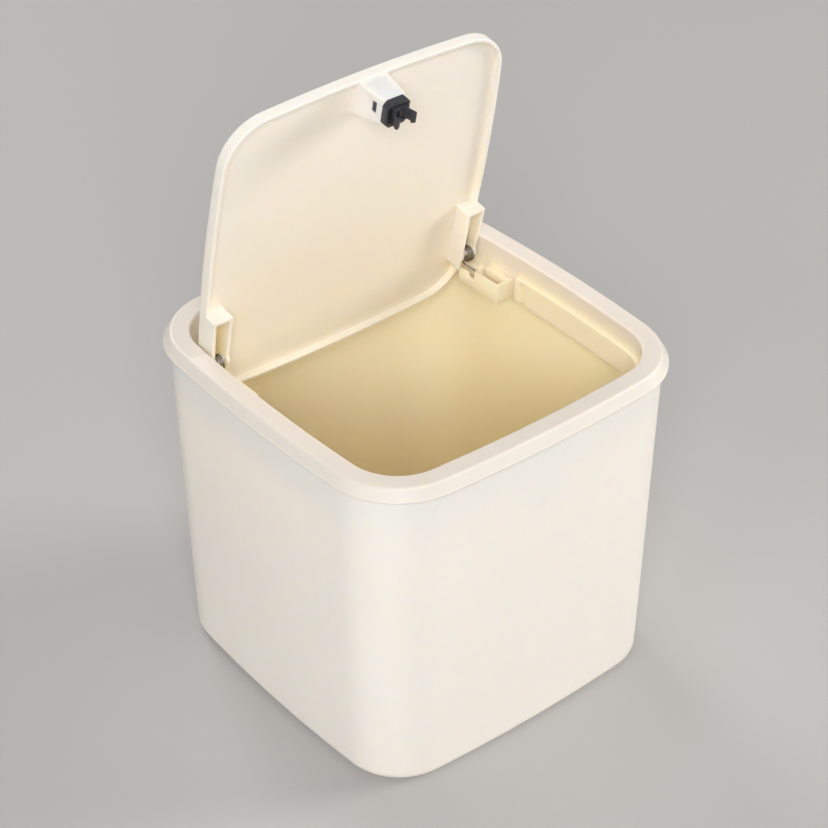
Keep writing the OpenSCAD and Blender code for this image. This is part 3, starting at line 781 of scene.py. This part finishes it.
def latch_boss():
    """The tapered housing that the latch is pushed into, with a window on each side for its catches."""
    front, back = LATCH_Y - HOUSING_D / 2, LATCH_Y + HOUSING_D / 2
    half, foot = HOUSING_W / 2, BOSS_W / 2
    ends = ((half, back, HOUSING_END), (foot, back + BOSS_OUT, LID_UNDER + JOIN))
    points = [p for w, far, z in ends for p in ((-w, front, z), (w, front, z), (w, far, z), (-w, far, z))]
    faces = [(0, 3, 2, 1), (4, 5, 6, 7), (0, 1, 5, 4), (1, 2, 6, 5), (2, 3, 7, 6), (3, 0, 4, 7)]
    body = new_mesh("latch_boss", points, faces)
    wall = HOUSING_WALL
    pocket = block((-half + wall, front + wall, HOUSING_END - JOIN),
                   (half - wall, back - wall, LID_UNDER - HOUSING_ROOF_T))
    window = block((-foot - JOIN, LATCH_Y - CATCH_W / 2, HOUSING_END + CATCH_UP),
                   (foot + JOIN, LATCH_Y + CATCH_W / 2, HOUSING_END + CATCH_UP + CATCH_H))
    return soften(combine(body, [pocket, window], "DIFFERENCE"), 0.3)


# Where the painted light and shade lies on the lid's underside.
TOP_BAND = 1.2
BOX_LIP = 0.6
BOX_MARGIN = 0.1
EDGE_MARGIN = 0.4
SHADE_FROM_Y = -30
SHADE_LEN = 90
SHADE_MOST = 0.4


def lid_painted_light(place, normal):
    """Painted light and shade, full deep in the hinge boxes, and growing a little towards the hinge elsewhere
    on the underside.
    """
    if place.z >= BIN_H - TOP_BAND:
        return 0.0
    box_inner, box_outer = BOX_X + BOX_WALL - BOX_MARGIN, LID_EDGE_X - BOX_WALL + EDGE_MARGIN
    between_walls = box_inner < abs(place.x) < box_outer
    behind_end = place.y > BOX_START + BOX_WALL - BOX_MARGIN
    if between_walls and behind_end and place.z > BOX_Z + BOX_LIP:
        return 1.0
    return SHADE_MOST * (place.y - SHADE_FROM_Y) / SHADE_LEN


def lid():
    """The panel, the latch housing and both hinge boxes, as one solid that stands open."""
    boxes = hinge_box()
    boxes += [mirrored(b) for b in boxes]
    whole = combine(lid_panel(), [latch_boss()] + boxes, "UNION")
    return opened(paint_light(smooth(whole), lid_painted_light))


finish_piece(lid(), CREAM, "bin_plastic", "lid", "lid")

# ---------------------------------------------------------------- springs at the hinge
SPRING_WIRE = 0.7
COIL_R = 3.8
COIL_TURNS = 3
COIL_PITCH = 1.3
COIL_SHIFT = (-1.1, -0.9)
LEG_DROP = 24
LEG_LEAN = 10
MOVING_LEG = 14.0
# Where the fixed leg is anchored, and where the moving leg is, down and up from the hinge.
# The fixed leg steps sideways from the trough to the coil; a bend's points are (sideways, from the middle).
CRANK_MIDDLE = 6.1
CRANK_BEND = ((0, 2.7), (0.12, 2.0), (0.45, 1.4))
COIL_X = BOX_X + BOX_WALL + 1.65
TROUGH_LEG_X = TROUGH_X + TROUGH_WALL + 2.4
FIXED_TURN = LEG_DROP - 90
MOVING_TURN = 360 * COIL_TURNS + 90 - LEG_LEAN - degrees(OPEN_TURN)
COIL_STEP = 12


def torsion_path():
    """One leg from the trough's floor, the turns round the pin, and one leg up the lid's box."""
    def on_coil(turn):
        angle = radians(turn)
        return (HINGE_Y + COIL_SHIFT[0] + COIL_R * cos(angle),
                HINGE_Z + COIL_SHIFT[1] + COIL_R * sin(angle))
    y, z = on_coil(FIXED_TURN)
    drop = radians(LEG_DROP)
    leg = (z - TROUGH_FLOOR - SPRING_WIRE / 2) / sin(drop)
    cranked = [(TROUGH_LEG_X, leg)]
    cranked += [(TROUGH_LEG_X - step, CRANK_MIDDLE + away) for step, away in CRANK_BEND]
    cranked += [(COIL_X + step, CRANK_MIDDLE - away) for step, away in reversed(CRANK_BEND)]
    path = [(x, y - s * cos(drop), z - s * sin(drop)) for x, s in cranked]
    steps = ceil((MOVING_TURN - FIXED_TURN) / COIL_STEP)
    for i in range(steps + 1):
        turn = FIXED_TURN + (MOVING_TURN - FIXED_TURN) * i / steps
        path.append((COIL_X + COIL_PITCH * (turn - FIXED_TURN) / 360, *on_coil(turn)))
    x, y, z = path[-1]
    end = radians(MOVING_TURN)
    return path + [(x, y - s * sin(end), z + s * cos(end)) for s in (MOVING_LEG / 2, MOVING_LEG)]


for side, name in ((1, "torsion_spring_right"), (-1, "torsion_spring_left")):
    spring = wire(name + "_wire", [(side * x, y, z) for x, y, z in torsion_path()], SPRING_WIRE)
    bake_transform(spring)
    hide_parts(name)

# ---------------------------------------------------------------- touch latch
TAB_ROOT = 1.6
TAB_OUT = 0.3
TAB_PLAY_W = 0.3
TAB_PLAY_H = 0.2


def latch_catch(side):
    """The tab of the latch case that shows in the housing's window."""
    xs = sorted((side * (HOUSING_W / 2 - TAB_ROOT), side * (HOUSING_W / 2 + TAB_OUT)))
    half = CATCH_W / 2 - TAB_PLAY_W
    low = HOUSING_END + CATCH_UP + TAB_PLAY_H
    high = HOUSING_END + CATCH_UP + CATCH_H - TAB_PLAY_H
    return opened(soften(block((xs[0], LATCH_Y - half, low), (xs[1], LATCH_Y + half, high)), 0.2))


MOULDINGS = {
    # CAD node: (the body it rides on, how far its moulded edges are rounded)
    "latch_striker": ("bin", 0.2),
    "latch_case": ("lid", 0.22),
    "latch_plunger": ("latch_plunger", 0.18),
    "jaw_left": ("jaw_left", 0.16),
    "jaw_right": ("jaw_right", 0.16),
}
for name, (body, edge) in MOULDINGS.items():
    moulding = smooth(soften(from_cad(name, name + "_moulded"), edge, angle=45))
    if name == "latch_case":
        moulding = smooth(join("latch_case_moulded", [moulding, latch_catch(1), latch_catch(-1)]))
    finish_piece(moulding, BLACK, "black_plastic", body, name)


def latch_coil():
    """The coil behind the plunger, in spring wire and not tied to a body: in the latch one end stays in the
    lid and the other moves with the plunger.
    """
    coil = smooth(from_cad("latch_spring", "latch_coil", merge_flats=False), angle=WIRE_SMOOTH)
    coil.data.materials.clear()
    coil.data.materials.append(WIRE)
    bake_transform(coil)
    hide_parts("latch_spring")


latch_coil()

# ---------------------------------------------------------------- CAD nodes that keep their shape
KEPT = {"jaw_pins": WIRE, "cam_pin": WIRE, "hinge_pin_left": SHADED_CREAM, "hinge_pin_right": SHADED_CREAM}
for kept_name, kept_material in KEPT.items():
    kept = frame["nodes"][kept_name]
    kept.data.materials.clear()
    kept.data.materials.append(kept_material)

# ---------------------------------------------------------------- floor, light and camera
FOCAL_PX = 2378.7
IMAGE_PX = 828
SENSOR_MM = 36.0
CAMERA_AZ = radians(-38.94)
CAMERA_EL = radians(36.07)
CAMERA_ROLL = radians(-0.14)
CAMERA_AWAY = 1171.2
CAMERA_RIGHT = -0.36
CAMERA_UP = 36.61
FLOOR_HALF_M = 6.0
FLOOR_COLOUR = "#B6B4B1"
LAMP_D_M = 1.0
LAMPS = {
    # name: (place, aim, watts, colour), in metres
    "window_right": ((2.0, -0.9, 0.9), (0, 0, 0.12), 32, "#FFFDFA"),
    "window_left": ((-1.2, -1.5, 1.4), (0, 0, 0.12), 33, "#FBFCFF"),
    "side_wall": ((-1.9, -0.4, 0.9), (0, 0, 0.12), 7, "#FFFFFF"),
    "ceiling": ((0.1, 0.3, 2.3), (0, 0, 0.1), 6, "#FFFFFF"),
    "wall": ((0.3, 1.9, 1.3), (0, 0, 0.12), 15, "#FFFFFF"),
}
WORLD_COLOUR = "#F4F5F8"
WORLD_STRENGTH = 0.25


def camera():
    """The photograph's camera: where it stands as seen from the bin, how far away, and its shift and roll."""
    level_reach = cos(CAMERA_EL)
    back = Vector((sin(CAMERA_AZ) * level_reach, -cos(CAMERA_AZ) * level_reach, sin(CAMERA_EL)))
    level = Vector((cos(CAMERA_AZ), sin(CAMERA_AZ), 0))
    upward = back.cross(level)
    right = cos(CAMERA_ROLL) * level + sin(CAMERA_ROLL) * upward
    up = -sin(CAMERA_ROLL) * level + cos(CAMERA_ROLL) * upward
    place = Vector((0, 0, BIN_H / 2)) + back * CAMERA_AWAY + right * CAMERA_RIGHT + up * CAMERA_UP
    lens = bpy.data.cameras.new("camera")
    lens.sensor_width = SENSOR_MM
    lens.sensor_fit = "HORIZONTAL"
    lens.lens = FOCAL_PX / IMAGE_PX * SENSOR_MM
    lens.clip_start = 0.05
    lens.clip_end = 20
    eye = add_piece("camera", lens)
    eye.matrix_world = Matrix.Translation(place * MM) @ Matrix((right, up, back)).transposed().to_4x4()
    bpy.context.scene.camera = eye


def lamp(name, place, aim, watts, colour):
    """A soft round lamp that faces its aim."""
    light = bpy.data.lights.new(name, "AREA")
    light.shape = "DISK"
    light.size = LAMP_D_M
    light.energy = watts
    light.color = linear(colour)[:3]
    holder = add_piece(name, light)
    direction = Vector(aim) - Vector(place)
    facing = direction.to_track_quat("-Z", "Y").to_matrix().to_4x4()
    holder.matrix_world = Matrix.Translation(place) @ facing


def studio():
    """A plain matt floor, soft lamps where a room's windows and walls would be, and a faint even sky."""
    floor_mesh = bpy.data.meshes.new("floor")
    half = FLOOR_HALF_M
    corners = [(-half, -half, 0), (half, -half, 0), (half, half, 0), (-half, half, 0)]
    floor_mesh.from_pydata(corners, [], [(0, 1, 2, 3)])
    floor = add_piece("floor", floor_mesh)
    paint, _, shader, _ = start_material("matt_floor_paint", Roughness=0.7)
    shader.inputs["Base Color"].default_value = linear(FLOOR_COLOUR)
    floor_mesh.materials.append(paint)
    for name, settings in LAMPS.items():
        lamp(name, *settings)
    world = bpy.data.worlds.new("soft_room")
    bpy.context.scene.world = world
    world.use_nodes = True
    back = world.node_tree.nodes["Background"]
    back.inputs["Color"].default_value = linear(WORLD_COLOUR)
    back.inputs["Strength"].default_value = WORLD_STRENGTH


camera()
studio()
bpy.context.scene.view_settings.view_transform = "Standard"
